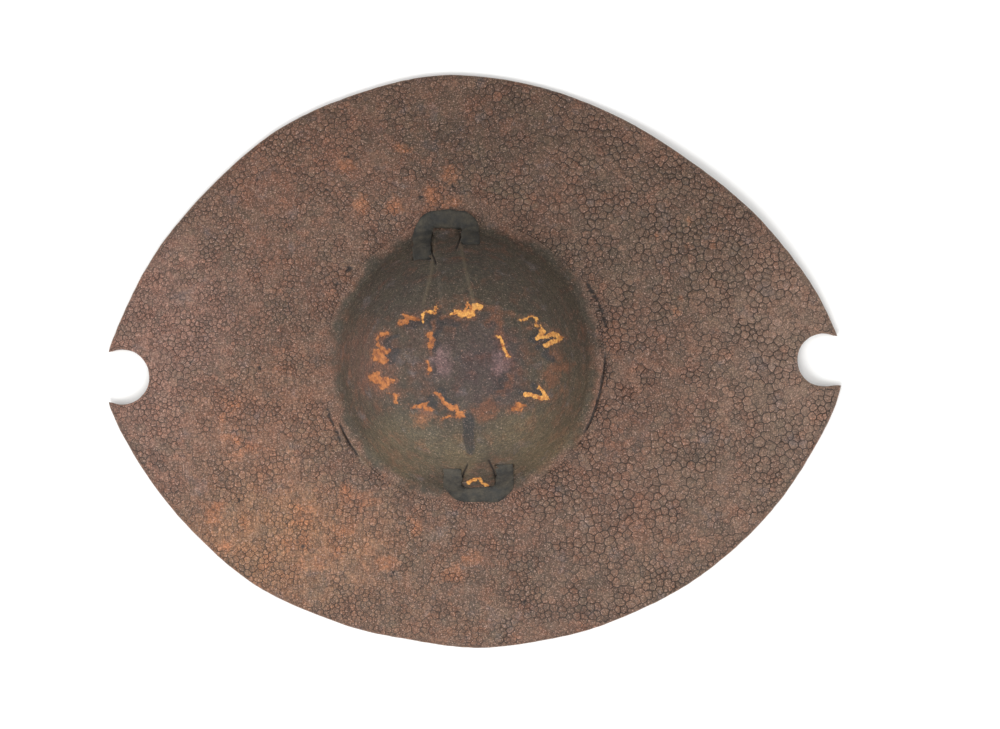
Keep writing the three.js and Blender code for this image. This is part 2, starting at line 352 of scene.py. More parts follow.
def triangulate(points, loops):
    """Triangles, anticlockwise, of the points within the first loop and outside of the others."""
    edges = []
    for first, count in loops:
        edges += [(first + k, first + (k + 1) % count) for k in range(count)]
    made = delaunay_2d_cdt([Vector(p) for p in points.tolist()], edges, [], 0, 1e-7, True)
    if len(made[0]) != len(points):
        raise ValueError("two points of the hide's mesh fell together")
    tris = np.array(made[2])
    a, b, c = (points[tris[:, k]] for k in range(3))
    turn = (b[:, 0] - a[:, 0]) * (c[:, 1] - a[:, 1]) - (b[:, 1] - a[:, 1]) * (c[:, 0] - a[:, 0])
    tris[turn < 0] = tris[turn < 0][:, ::-1]
    middle = (a + b + c) / 3
    keep = np.ones(len(tris), bool)
    for k, (first, count) in enumerate(loops):
        within = inside(middle, points[first:first + count])
        keep &= within if k == 0 else ~within
    return tris[keep & (np.abs(turn) > 1e-9)]


# ---------------------------------------------------------------------------- scattering points

def cell_pitch(x, y):
    """Distance between the middles of neighbouring cells of the cracked grain."""
    right = smooth(x, -40, 120)
    pitch = mix(4.8, 6.6, right)
    pitch = mix(pitch, 6.4, smooth(y, 60, 150) * smooth(x, -160, 20))
    low_left = smooth(-x, 20, 120) * smooth(-y, 20, 120)
    pitch = mix(pitch, 5.3, low_left)
    pitch = pitch * (1 + 0.3 * noise(x, y, 38, 3))
    return np.clip(pitch, 3.6, 9.5)


# The cells come in three sizes, mixed in these shares.
CELL_SIZES, CELL_SHARES = [0.74, 0.95, 1.3], [0.5, 0.3, 0.2]


def scatter_cells(rng, fixed, loop):
    """Middles of the brim's cells, thinned by rank so that each keeps its distance."""
    low, high = loop.min(0), loop.max(0)
    tries = rng.uniform(low, high, (60000, 2))
    _, share = brim_share(tries[:, 0], tries[:, 1])
    tries = tries[(boss_radius(tries[:, 0], tries[:, 1]) > FOOT_RADIUS + 1.5) & (share < 1)]
    tries = tries[inside(tries, loop)]
    lot = rng.choice(CELL_SIZES, len(tries), p=CELL_SHARES)
    pitch = cell_pitch(tries[:, 0], tries[:, 1]) * lot
    cell = 10.0
    grid = {}
    for x, y in fixed:
        grid.setdefault((int(x // cell), int(y // cell)), []).append((x, y, 3.4))
    kept = []
    for (x, y), p in zip(tries.tolist(), pitch.tolist()):
        gap = p * 0.8
        gx, gy = int(x // cell), int(y // cell)
        clear = True
        for i in (gx - 1, gx, gx + 1):
            for j in (gy - 1, gy, gy + 1):
                for u, v, other in grid.get((i, j), ()):
                    if (u - x) ** 2 + (v - y) ** 2 < ((gap + other * 0.8) / 2) ** 2:
                        clear = False
                        break
                if not clear:
                    break
            if not clear:
                break
        if clear:
            grid.setdefault((gx, gy), []).append((x, y, p))
            kept.append((x, y))
    return np.array(kept)


def scatter_boss(rng, spacing_scale=1.0):
    """Rings of points over the boss, closer down the slope than round it on the wall."""
    points = [(BOSS_X, 0.0)]
    radius, turn = 0.6, 0.0
    while radius < FOOT_RADIUS + 0.6:
        wall = smooth(radius, 72, 92)
        down = mix(1.06, 0.80, wall) * spacing_scale
        down = mix(down, 1.5 * spacing_scale, smooth(radius, 110, 123))
        around = mix(1.10, 2.05, wall) * spacing_scale
        radius += down
        count = int(2 * math.pi * radius / around)
        turn += rng.random()
        angle = (np.arange(count) + turn) * 2 * math.pi / count
        r = radius + rng.uniform(-0.12, 0.12, count) * down
        points += list(zip(BOSS_X + r * np.cos(angle), r * BOSS_STRETCH * np.sin(angle)))
    return np.array(points)


def clear_of(points, loops, gap):
    """Leaves out the points that lie nearer than gap to any of the loops."""
    keep = np.ones(len(points), bool)
    for loop in loops:
        near = np.all((points > loop.min(0) - gap - 1) & (points < loop.max(0) + gap + 1), 1)
        index = np.flatnonzero(near & keep)
        if not len(index):
            continue
        some = points[index]
        far = np.full(len(some), 1e9)
        for k in range(len(loop)):
            d, _ = along(some[:, 0], some[:, 1], [loop[k], loop[(k + 1) % len(loop)]])
            far = np.minimum(far, d)
        keep[index[(far < gap)]] = False
    return keep


# ---------------------------------------------------------------------------- marks

# The dark film on the boss has torn along two uneven rings round the crown: half spans along
# x and y, and how many pieces each ring breaks into.
CROWN_X = -6
TEAR_RINGS = [(80, 46, 17), (36, 44, 10)]
TEAR_WANDER = 0.13
TORN_SHARE = 0.62
BRIGHT_SIDE, BRIGHT_WIDTH = 25, 85  # degrees round from the right

# Below the crown a thick drip of film runs down: top, bottom and half width.
DRIP_TOP, DRIP_END, DRIP_HALF = 50, 76, 4.5

# Cracks round the boss's foot: first and last angle in degrees, and mm outside the foot.
FOOT_CRACKS = [(-32, 4, 2), (12, 34, 5), (140, 150, 9), (196, 214, 8), (206, 222, 2)]
BRIM_CRACKS = 12
CREASE_REACH, CREASE_FROM, CREASE_TO = 152, 63, 85

# Where the brim is worn to orange: middle, spread, number of spots and largest half span.
WEAR_ZONES = [
    ((-150, -140), (95, 45), 15, 12),
    ((-230, -60), (35, 35), 6, 8),
    ((-70, 150), (50, 50), 7, 11),
    ((10, -180), (60, 50), 4, 13),
    ((200, 90), (50, 45), 6, 5),
]


def ring_line(span_x, span_y, start, stop, rng, points=5):
    """A ragged stretch of a ring round the crown, between two angles in degrees."""
    turn = np.radians(np.linspace(start, stop, points))
    sway = 1 + rng.uniform(-TEAR_WANDER, TEAR_WANDER, points)
    return np.stack([CROWN_X + span_x * sway * np.cos(turn), span_y * sway * np.sin(turn)], 1)


def torn_film(rng):
    """Bright tears, dull tears, brown stain beside them and thick film, as half width and line."""
    bright, dull, stain, film = [], [], [], []
    for span_x, span_y, count in TEAR_RINGS:
        pitch = 360 / count
        for k in range(count):
            start = pitch * (k + rng.uniform(-0.2, 0.2))
            line = ring_line(span_x, span_y, start, start + pitch * rng.uniform(0.4, 1.0), rng)
            half = rng.uniform(0.8, 2.6)
            turned = (start - BRIGHT_SIDE + 180) % 360 - 180
            if rng.random() < TORN_SHARE:
                (bright if abs(turned) < BRIGHT_WIDTH else dull).append((half, line))
            stain.append((1.9 * half, line))
            if rng.random() < 0.45:
                film.append((1.4 * half, line * (0.9, 0.9)))
    film.append((DRIP_HALF, np.array([(CROWN_X, -DRIP_TOP), (CROWN_X + 2, -DRIP_END)])))
    tongue = LACINGS[1]["tongue"]
    band = LACINGS[1]["band"]
    torn_edge = np.array([(tongue["x"] - tongue["half"] + 2, 10 - band), (tongue["x"], 13 - band),
                          (tongue["x"] + tongue["half"] - 1, 3 - band)])
    bright.append((1.6, torn_edge))
    return bright, dull, stain, film


def round_foot(start, stop, out, points=7):
    """A line round the boss, out mm from its foot, between two angles in degrees."""
    turn = np.radians(np.linspace(start, stop, points))
    far = foot_reach(turn) + out + 1.6 * np.sin(5 * turn)
    return np.stack([BOSS_X + far * np.cos(turn), far * np.sin(turn)], 1)


def cracks(rng):
    """Half width, depth and line of each crack: by the slots, round the foot and on the brim."""
    lines = []
    for lacing in LACINGS:
        middle = sum(x for x, _ in lacing["legs"]) / 2
        for x, out in lacing["legs"]:
            inner = mix(x, middle, 0.42)
            line = [(mix(x, middle, 0.3), out + 13), (inner, out + 3), (mix(x, middle, 0.6), out - 7)]
            lines.append((0.7, 1.3, np.array(line) * (1, lacing["dir"])))
    for start, stop, out in FOOT_CRACKS:
        lines.append((0.7, 1.1, round_foot(start, stop, out)))
    for _ in range(BRIM_CRACKS):
        turn, heading = rng.uniform(0, 2 * math.pi, 2)
        far = mix(foot_reach(turn), reach(turn), rng.uniform(0.2, 0.85))
        middle = np.array([BOSS_X + far * math.cos(turn), far * math.sin(turn)])
        step = np.array([math.cos(heading), math.sin(heading)]) * rng.uniform(2.5, 5)
        bend = np.array([-step[1], step[0]]) * rng.uniform(-0.4, 0.4)
        lines.append((0.5, 0.7, np.array([middle - step, middle + bend, middle + step])))
    return lines


def creases():
    """Half width, rise and line of each raised crease."""
    lines = [(1.2, 0.6, round_foot(CREASE_FROM, CREASE_TO, CREASE_REACH - FOOT_RADIUS))]
    top = LACINGS[0]
    middle = sum(x for x, _ in top["legs"]) / 2
    for side, foot in ((1, 12), (-1, -6)):
        line = [(middle + side * top["tongue"]["half"], top["band"] - 18), (middle + foot + side * 6, 78),
                (middle + foot + side * 14, 46)]
        lines.append((0.9, 0.45, np.array(line)))
    lines.append((0.9, 0.5, round_foot(216, 228, 1)))
    return lines


def worn_spots(rng):
    spots = []
    for (cx, cy), (sx, sy), count, largest in WEAR_ZONES:
        for _ in range(count):
            half = rng.uniform(0.4, 1, 2) * largest
            spots.append((cx + sx * rng.normal(0, 0.6), cy + sy * rng.normal(0, 0.6), *half))
    return spots


marks_rng = np.random.default_rng(17)
RAW, RAW_DULL, RUST, BLACK = torn_film(marks_rng)
PINK = [(7, ring_line(24, 12, 150, 215, marks_rng)), (6, ring_line(30, 12, -30, 15, marks_rng))]
GROOVES, RIDGES, WEAR = cracks(marks_rng), creases(), worn_spots(marks_rng)

CAMERA_X, CAMERA_Y, CAMERA_HEIGHT = 22.5, -2.8, 3000
RIM_LEVEL = 6


def field(x, y, marks, soft=2.4, sway=1.1):
    """0.5 on the border of the marks, rising to 1 inside them and falling to 0 outside."""
    wx = x + sway * noise(x, y, 4.5, 45)
    wy = y + sway * noise(x, y, 4.5, 46)
    best = np.zeros(len(x))
    for half, line in marks:
        place = np.asarray(line)
        near = (np.abs(x - place[:, 0].mean()) < 60) & (np.abs(y - place[:, 1].mean()) < 60)
        gap, _ = along(wx[near], wy[near], place)
        best[near] = np.maximum(best[near], np.clip(0.5 + (half - gap) / (2 * soft), 0, 1))
    return best


def line_relief(x, y, lines, edge=0.5):
    """How deep or high the lines stand at each place, and how much each place is in one."""
    height, share = np.zeros(len(x)), np.zeros(len(x))
    for half, rise, line in lines:
        place = np.asarray(line)
        low, high = place.min(0) - 5, place.max(0) + 5
        near = (x > low[0]) & (x < high[0]) & (y > low[1]) & (y < high[1])
        if not near.any():
            continue
        gap, where = along(x[near], y[near], place)
        taper = smooth(where, 0, 0.12) * (1 - smooth(where, 0.88, 1))
        inside_it = (1 - smooth(gap, half * 0.3, half + edge)) * (0.35 + 0.65 * taper)
        height[near] = np.maximum(height[near], rise * inside_it)
        share[near] = np.maximum(share[near], inside_it)
    return height, share


# ---------------------------------------------------------------------------- relief

def relief(x, y):
    """Lumps and wrinkles of the front face, measured out of it."""
    angle, share = brim_share(x, y)
    brim = smooth(share, 0.0, 0.06) * (1 - smooth(share, 0.965, 1))
    height = brim * (0.9 * fbm(x, y, 95, 21, 3) + 0.35 * fbm(x, y, 22, 22, 3))
    # wavy parallel wrinkles of the upper left
    zone = smooth(-x, -40, 60) * smooth(y, 70, 150) * brim
    waves = np.sin((y * 0.93 + x * 0.36 + 7 * noise(x, y, 38, 23)) * 2 * math.pi / 8.5)
    height = height + 0.22 * zone * waves * (0.6 + 0.6 * noise(x, y, 30, 24))
    # upright fibres of the lower left
    zone = smooth(-x, -30, 70) * smooth(-y, 60, 130) * brim
    waves = np.sin((x + 2.5 * noise(x, y, 26, 25)) * 2 * math.pi / 5.2)
    height = height + 0.1 * zone * waves * (0.5 + 0.7 * noise(x, y, 20, 26))
    # the boss: dents, ripples round it, and pebbled film
    radius = boss_radius(x, y)
    boss = 1 - smooth(radius, FOOT_RADIUS - 8, FOOT_RADIUS + 4)
    slope_run = np.interp(radius, PROFILE[:, 0], PROFILE_RUN)
    ripple = noise(np.cos(angle) * 30 + 50, slope_run + 20 * np.sin(angle), 6.5, 27)
    height = height + boss * (0.55 * fbm(x, y, 30, 28, 3) + 0.35 * ripple * smooth(radius, 40, 80)
                              + 0.22 * fbm(x, y, 5.5, 29, 2))
    return height


# ---------------------------------------------------------------------------- front face

def directed_edges(tris, total):
    """For each corner of each triangle, the triangle across the edge that starts there."""
    a = tris
    b = np.roll(tris, -1, 1)
    key = (a.astype(np.int64) * total + b).ravel()
    twin = (b.astype(np.int64) * total + a).ravel()
    order = np.argsort(key)
    place = np.searchsorted(key[order], twin)
    place = np.minimum(place, len(key) - 1)
    found = key[order][place] == twin
    other = np.where(found, order[place] // 3, -1)
    corner = np.where(found, order[place] % 3, -1)
    return other.reshape(-1, 3), corner.reshape(-1, 3)


def circle_middle(corners):
    """The middle of the circle through each triangle's corners, kept well inside of it."""
    a, b, c = corners[:, 0], corners[:, 1], corners[:, 2]
    side = np.stack([((b - c) ** 2).sum(1), ((c - a) ** 2).sum(1), ((a - b) ** 2).sum(1)], 1)
    weight = side * (side.sum(1, keepdims=True) - 2 * side)
    weight = weight / weight.sum(1, keepdims=True)
    weight = np.clip(weight, 0.08, None)
    weight = weight / weight.sum(1, keepdims=True)
    return (corners * weight[..., None]).sum(1)


def crack_heading(x, y):
    """Which way the longest cracks run: upright by the boss, slanting or level further out."""
    far_right = smooth(x, 150, 240)
    heading = mix(1.45, 0.75, far_right)
    high = smooth(y, 90, 180) * smooth(x, -20, 80)
    heading = mix(heading, -0.5, high * (1 - 0.6 * far_right))
    far_left = smooth(-x, 150, 260)
    heading = mix(heading, 0.1, far_left)
    heading = mix(heading, 0.35, smooth(-x, 0, 90) * smooth(y, 100, 170))
    return heading + 0.5 * noise(x, y, 70, 36)


def cracked_face(points, tris, rng):
    """Splits the brim's triangulation into cells with a crack round each one.

    Gives the plan points, the triangles, how deep each vertex lies in a crack, the cell it
    belongs to, and for each edge on a border its three added vertices.
    """
    total = len(points)
    centre = points[tris].mean(1)
    ragged = 2.5 * noise(centre[:, 0], centre[:, 1], 16, 30)
    cells = boss_radius(centre[:, 0], centre[:, 1]) + ragged > FOOT_RADIUS
    other, corner = directed_edges(tris, total)

    # cells that dried together are parted by the wide cracks
    chosen = rng.choice(total, int(total * 0.4), replace=False)
    chosen = chosen[boss_radius(*points[chosen].T) > FOOT_RADIUS]
    warped = points + 3.0 * np.stack([noise(*points.T, 14, 31), noise(*points.T, 14, 32)], 1)
    family = np.zeros(total, int)
    outside = np.flatnonzero(boss_radius(*points.T) > FOOT_RADIUS - 6)
    for low in range(0, len(outside), 1500):
        some = outside[low:low + 1500]
        gaps = ((warped[some][:, None, :] - points[chosen][None]) ** 2).sum(-1)
        family[some] = np.argmin(gaps, 1)

    a, b = tris, np.roll(tris, -1, 1)
    wide = family[a] != family[b]
    mid = (points[a] + points[b]) / 2
    strength = 0.6 + 0.5 * noise(mid[..., 0], mid[..., 1], 15, 33)
    patchy = 0.5 + 0.5 * noise(mid[..., 0], mid[..., 1], 60, 34)
    heading = np.arctan2(*(points[b] - points[a]).transpose(2, 0, 1)[::-1]) + math.pi / 2
    aligned = np.cos(heading - crack_heading(mid[..., 0], mid[..., 1])) ** 2
    strength = strength * (0.55 + 0.75 * aligned)
    right = smooth(mid[..., 0], -60, 160)
    wide_half = mix(0.36, 0.5, right) * (0.6 + 0.6 * strength)
    fine_half = mix(0.24, 0.26, right) * (0.6 + 0.6 * strength)
    half = np.where(wide, wide_half, fine_half)
    deep = np.where(wide, mix(0.6, 1.0, right) * np.clip(1.5 * strength - 0.25, 0.05, 1.3),
                    mix(0.34, 0.26, right) * np.clip(strength * (0.5 + patchy), 0, 1.2))

    middle = mix(centre, circle_middle(points[tris]), 0.8)
    count = len(tris)
    dual = total + np.arange(count)
    inset = total + count + np.arange(count * 3).reshape(count, 3)
    before = np.roll(half, 1, 1)
    reach_in = 1.15 * np.maximum(half, before)
    toward = points[tris] - middle[:, None]
    length = np.linalg.norm(toward, axis=2)
    share = np.minimum(0.42, reach_in / np.maximum(length, 1e-6))
    inset_points = middle[:, None] + toward * share[..., None]
    depth_dual = deep.max(1)

    plan = [points, middle, inset_points.reshape(-1, 2)]
    depth = [np.zeros(total), depth_dual, np.zeros(count * 3)]
    tint_of = [np.arange(total), tris[:, 0], tris.reshape(-1)]
    faces = []

    open_edge = (other < 0) | ~cells[np.maximum(other, 0)]
    inner = cells[:, None] & ~open_edge
    t, k = np.nonzero(inner)
    t2, k2 = other[t, k], corner[t, k]
    va = tris[t, k]
    ia = inset[t, k]
    ia2 = inset[t2, (k2 + 1) % 3]
    faces += [np.stack([va, ia2, ia], 1),
              np.stack([ia2, dual[t2], dual[t]], 1),
              np.stack([ia2, dual[t], ia], 1)]

    border = cells[:, None] & open_edge
    t, k = np.nonzero(border)
    va, vb = tris[t, k], tris[t, (k + 1) % 3]
    first = total + count * 4
    n = len(t)
    qa, qm, qb = (first + n * s + np.arange(n) for s in range(3))
    pa, pb = points[va], points[vb]
    plan += [mix(pa, pb, 0.42), (pa + pb) / 2, mix(pa, pb, 0.58)]
    depth += [np.zeros(n), np.full(n, 0.16), np.zeros(n)]
    tint_of += [va, va, vb]
    ia, ib = inset[t, k], inset[t, (k + 1) % 3]
    faces += [np.stack([va, qa, ia], 1), np.stack([qa, qm, dual[t]], 1),
              np.stack([qa, dual[t], ia], 1), np.stack([vb, ib, qb], 1),
              np.stack([qm, qb, ib], 1), np.stack([qm, ib, dual[t]], 1)]
    added = {(int(p), int(q)): (int(i), int(j), int(l))
             for p, q, i, j, l in zip(va, vb, qa, qm, qb)}

    # the boss's own triangles, split where they meet the cells
    plain = np.flatnonzero(~cells)
    meets = np.zeros(len(plain), bool)
    for k in range(3):
        o = other[plain, k]
        meets |= (o >= 0) & cells[np.maximum(o, 0)]
    faces.append(tris[plain[~meets]])
    extra, extra_plan = [], []
    next_one = sum(len(p) for p in plan)
    for t in plain[meets]:
        ring = []
        for k in range(3):
            p, q = int(tris[t, k]), int(tris[t, (k + 1) % 3])
            ring.append(p)
            if (q, p) in added:
                i, j, l = added[(q, p)]
                ring += [l, j, i]
        hub = next_one + len(extra_plan)
        extra_plan.append(centre[t])
        extra += [(hub, ring[i], ring[(i + 1) % len(ring)]) for i in range(len(ring))]
    if extra:
        plan.append(np.array(extra_plan))
        depth.append(np.zeros(len(extra_plan)))
        tint_of.append(np.zeros(len(extra_plan), int))
        faces.append(np.array(extra))
    return (np.vstack(plan), np.vstack(faces), np.concatenate(depth), np.concatenate(tint_of),
            added, family)


# ---------------------------------------------------------------------------- colour

def rgb(r, g, b):
    """A colour as it looks on screen, made linear."""
    c = np.array([r, g, b], float) / 255
    return np.where(c <= 0.04045, c / 12.92, ((c + 0.055) / 1.055) ** 2.4)


# The tones below are as the eye sees them in the light, and these carry them to the hide's own, though the painted
# shade and sheen in them remain.
BRIM_LEVEL = np.array([0.68, 0.62, 0.55])
BOSS_LEVEL = np.array([0.56, 0.53, 0.49])

# Broad tones of the brim, partly its own colour and partly painted light: darker along the top as painted shade,
# lighter and greyer at both ends as painted sheen. Middle, half spans, colour and strength.
BRIM_TONES_AND_PAINTED_LIGHT = [
    ((330, 0), (150, 190), (138, 116, 103), 0.75),
    ((150, 130), (150, 100), (104, 84, 70), 0.7),
    ((0, 205), (150, 70), (90, 70, 56), 0.8),
    ((-150, 190), (120, 80), (120, 88, 72), 0.7),
    ((-300, 20), (110, 150), (142, 110, 100), 0.8),
    ((-190, -60), (110, 90), (140, 104, 84), 0.6),
    ((-165, -165), (130, 80), (158, 116, 84), 0.75),
    ((-40, -205), (140, 70), (124, 94, 74), 0.7),
    ((60, -200), (150, 75), (106, 84, 70), 0.7),
    ((160, -190), (120, 60), (122, 96, 80), 0.6),
    ((230, -110), (110, 80), (120, 98, 84), 0.6),
]


# And of the film on the boss, partly its own colour and partly painted light: darker on the upper flank as painted
# shade, lighter on the lower flank as painted light.
BOSS_TONES_AND_PAINTED_LIGHT = [
    ((-10, 95), (100, 40), (76, 68, 57), 0.9),
    ((-75, 60), (45, 45), (72, 63, 54), 0.9),
    ((60, 60), (60, 55), (80, 70, 57), 0.9),
    ((-95, 0), (34, 45), (104, 76, 64), 0.9),
    ((-45, 10), (30, 50), (92, 72, 64), 0.8),
    ((5, -5), (45, 55), (84, 68, 68), 0.9),
    ((-55, -75), (45, 40), (104, 94, 74), 0.85),
    ((-15, -80), (22, 35), (116, 102, 76), 0.7),
    ((50, -65), (60, 45), (112, 98, 74), 0.85),
    ((80, -30), (40, 50), (96, 82, 62), 0.7),
]


def brim_paint(x, y):
    colour = np.broadcast_to(rgb(118, 90, 75), (len(x), 3)).copy()
    wx = x + 30 * fbm(x, y, 70, 41)
    wy = y + 30 * fbm(x, y, 70, 42)
    for (cx, cy), (sx, sy), tone, strength in BRIM_TONES_AND_PAINTED_LIGHT:
        gap = np.hypot((wx - cx) / sx, (wy - cy) / sy)
        colour = mix(colour, rgb(*tone), (strength * (1 - smooth(gap, 0.25, 1.1)))[:, None])
    return colour


def boss_paint(x, y):
    radius = boss_radius(x, y)
    colour = np.broadcast_to(rgb(80, 70, 57), (len(x), 3)).copy()
    wx, wy = x + 10 * noise(x, y, 24, 51), y + 10 * noise(x, y, 24, 52)
    for (cx, cy), (sx, sy), tone, strength in BOSS_TONES_AND_PAINTED_LIGHT:
        gap = np.hypot((wx - cx) / sx, (wy - cy) / sy)
        colour = mix(colour, rgb(*tone), (strength * (1 - smooth(gap, 0.3, 1.1)))[:, None])
    return colour


# ---------------------------------------------------------------------------- building meshes

def make_object(name, vertices, faces, attributes, uv, material, flat_cells=False):
    """A mesh object. With flat_cells its shading follows its larger faces."""
    mesh = bpy.data.meshes.new(name)
    mesh.vertices.add(len(vertices))
    mesh.vertices.foreach_set("co", np.asarray(vertices, np.float32).ravel())
    mesh.loops.add(len(faces) * 3)
    mesh.loops.foreach_set("vertex_index", np.asarray(faces, np.int32).ravel())
    mesh.polygons.add(len(faces))
    mesh.polygons.foreach_set("loop_start", np.arange(0, len(faces) * 3, 3, dtype=np.int32))
    mesh.update(calc_edges=True)
    for key, values in attributes.items():
        values = np.asarray(values, np.float32)
        if values.ndim == 2:
            layer = mesh.attributes.new(key, "FLOAT_COLOR", "POINT")
            rgba = np.ones((len(values), 4), np.float32)
            rgba[:, :3] = values
            layer.data.foreach_set("color", rgba.ravel())
        else:
            layer = mesh.attributes.new(key, "FLOAT", "POINT")
            layer.data.foreach_set("value", values)
    if uv is not None:
        layer = mesh.uv_layers.new(name="OFBake")
        layer.data.foreach_set("uv", np.asarray(uv, np.float32).ravel())
    mesh.shade_smooth()
    mesh.validate()
    if flat_cells:
        corners = np.asarray(vertices)[np.asarray(faces)]
        across = np.cross(corners[:, 1] - corners[:, 0], corners[:, 2] - corners[:, 0])
        normals = np.zeros((len(vertices), 3))
        for k in range(3):
            np.add.at(normals, np.asarray(faces)[:, k], across)
        normals /= np.maximum(np.linalg.norm(normals, axis=1, keepdims=True), 1e-20)
        mesh.normals_split_custom_set_from_vertices(normals)
    mesh.materials.append(material)
    made = bpy.data.objects.new(name, mesh)
    bpy.context.scene.collection.objects.link(made)
    return made


def groove_points():
    """Rows of points along and beside the grooves and ridges of the boss."""
    rows = []
    for half, _, line in GROOVES + RIDGES:
        place = resample(np.asarray(line), 1.3)
        if boss_radius(*place.T).max() > FOOT_RADIUS - 2:
            continue
        heading = np.gradient(place, axis=0)
        heading /= np.linalg.norm(heading, axis=1, keepdims=True)
        beside = np.stack([heading[:, 1], -heading[:, 0]], 1)
        for step in (0, -1, 1):
            rows.append(place + beside * step * (half + 0.35))
    rows = np.vstack(rows)
    kept = []
    for p in rows:
        if not kept or np.hypot(*(np.array(kept) - p).T).min() > 0.6:
            kept.append(p)
    return np.array(kept)


def away_from(points, others, gap):
    """Whether each point is further than gap from all the others."""
    keep = np.ones(len(points), bool)
    near = np.flatnonzero(np.all((points > others.min(0) - gap) & (points < others.max(0) + gap), 1))
    for low in range(0, len(near), 2000):
        some = near[low:low + 2000]
        gaps = ((points[some][:, None] - others[None]) ** 2).sum(-1).min(1)
        keep[some] = gaps > gap ** 2
    return keep


# How much wider the front's points stand on the boss than scatter_boss sets them.
BOSS_SPACING = 1.35

# Places on the baked map: the front's middle, the back's scale and middle, and the walls'
# left, bottom, length and row height.
FRONT_MAP = 0.605
BACK_MAP_SCALE, BACK_MAP = 0.24, (0.14, 0.1)
WALL_MAP = (0.3, 0.01, 0.66, 0.036)


def build_hide(material, shift):
    rng = np.random.default_rng(5)
    rim, kinds = hide_loop()
    slots = [slot_loop(x, lacing["dir"] * (out - 1))
             for lacing in LACINGS for x, out in lacing["legs"]]
    borders = np.vstack([rim] + slots)
    loops, first = [], 0
    for loop in [rim] + slots:
        loops.append((first, len(loop)))
        first += len(loop)

    cells = scatter_cells(rng, rim, rim)
    cells = cells[clear_of(cells, [rim], 1.7)]
    boss = scatter_boss(rng, BOSS_SPACING)
    fine = groove_points()
    fine = fine[clear_of(fine, slots, 0.75)]
    for slot in slots:
        boss = boss[~inside(boss, slot)]
        fine = fine[~inside(fine, slot)]
    boss = boss[clear_of(boss, slots, 0.75) & away_from(boss, fine, 0.55)]
    points = np.vstack([borders, cells, fine, boss])
    tris = triangulate(points, loops)
    plan, faces, depth, tint_of, added, family = cracked_face(points, tris, rng)
    x, y = plan.T
    angle, share = brim_share(x, y)
    on_brim = smooth(boss_radius(x, y), FOOT_RADIUS - 1, FOOT_RADIUS + 3)

    # each cell is a little pillow at its own height
    lot = rng.normal(0, 1, (len(points), 3))
    own = 0.6 * lot[tint_of] + 0.8 * lot[family[tint_of]]
    calm = 1 - smooth(share, 0.96, 1)
    height = relief(x, y) + on_brim * calm * 0.07 * own[:, 0]
    is_middle = np.zeros(len(plan), bool)
    is_middle[len(borders):len(borders) + len(cells)] = True
    height += is_middle * 0.05
    height -= depth
    raw, dull = field(x, y, RAW, 2.0, 1.6), field(x, y, RAW_DULL, 2.0, 1.6)
    rust = field(x, y, RUST, 3.5, 2.5)
    black, pink = field(x, y, BLACK, 2.6, 1.8), field(x, y, PINK, 5.0)
    height += 0.35 * smooth(black, 0.42, 0.58) - 0.3 * smooth(np.maximum(raw, dull), 0.42, 0.58)
    groove, in_groove = line_relief(x, y, GROOVES)
    ridge, in_ridge = line_relief(x, y, RIDGES, 1.4)
    height += ridge - groove
    place = off_front(x, y, height)

    edge = boss_radius(x, y) + 5 * noise(x, y, 13, 53) + 2 * noise(x, y, 5, 54)
    off_boss = smooth(edge, FOOT_RADIUS - 7, FOOT_RADIUS + 1)
    paint = mix(BOSS_LEVEL * boss_paint(x, y), BRIM_LEVEL * brim_paint(x, y), off_boss[:, None])
    tint = np.clip(own[:, 1], -2.2, 2.2) * on_brim
    hue = np.clip(own[:, 2], -2.2, 2.2) * on_brim
    # how deep each place lies in a crack or groove; the material paints shade there
    crack = np.maximum(np.clip(depth / 0.6, 0, 1), in_groove)
    wear = np.zeros(len(x))
    for cx, cy, sx, sy in WEAR:
        gap = np.hypot((x - cx + 3 * noise(x, y, 9, 55)) / sx, (y - cy + 3 * noise(x, y, 9, 56)) / sy)
        wear = np.maximum(wear, 1 - smooth(gap, 0.3, 1.6))
    comb = smooth(-x, 0, 90) * smooth(-y, 40, 120) * off_boss
    comb = np.maximum(comb, 0.5 * smooth(-x, 100, 160) * (1 - smooth(np.abs(y), 60, 110)) * off_boss)
    streak = np.stack([np.cos(angle) * 0.5 + 0.5, np.sin(angle) * 0.5 + 0.5,
                       np.interp(boss_radius(x, y), PROFILE[:, 0], PROFILE_RUN) / 200], 1)

    # walls: front edge, rounded cut edge, back edge
    rings_v, rings_f = [place], [faces]
    start = len(place)
    wall_uv = []

    def ring_of(loop_index):
        """The border's vertices in order, with those that the cells added."""
        first, size = loops[loop_index]
        full, corners = [], []
        for k in range(size):
            p, q = first + k, first + (k + 1) % size
            corners.append(len(full))
            full.append(p)
            if (p, q) in added:
                full += list(added[(p, q)])
        return full, corners

    back_points = [points[:len(borders)]]
    pitch = 7.5
    low, high = rim.min(0), rim.max(0)
    gx, gy = np.meshgrid(np.arange(low[0], high[0], pitch), np.arange(low[1], high[1], pitch * 0.866))
    gx = gx + (np.arange(gx.shape[0]) % 2)[:, None] * pitch / 2
    grid = np.stack([gx.ravel(), gy.ravel()], 1)
    grid = grid + rng.uniform(-1, 1, grid.shape)
    grid = grid[inside(grid, rim) & (boss_radius(*grid.T) > FOOT_RADIUS + 2)]
    grid = grid[clear_of(grid, [rim], 3)]
    dome = scatter_boss(rng, 3.4)
    dome = dome[clear_of(dome, slots, 2)]
    for slot in slots:
        dome = dome[~inside(dome, slot)]
    back_points = np.vstack([points[:len(borders)], grid, dome])
    back_tris = triangulate(back_points, loops)
    bx, by = back_points.T
    back = back_place(bx, by)
    _, back_share = brim_share(bx, by)
    rough = (1 - smooth(back_share, 0.9, REST_LAND)) * (0.5 * fbm(bx, by, 26, 61, 3)
                                                        + 0.5 * fbm(bx, by, 90, 62, 2))
    rough[:len(borders)] = 0
    back = back + front_normal(bx, by) * rough[:, None]
    back_start = start
    rings_v.append(back)
    rings_f.append(back_tris[:, ::-1] + back_start)
    start += len(back)

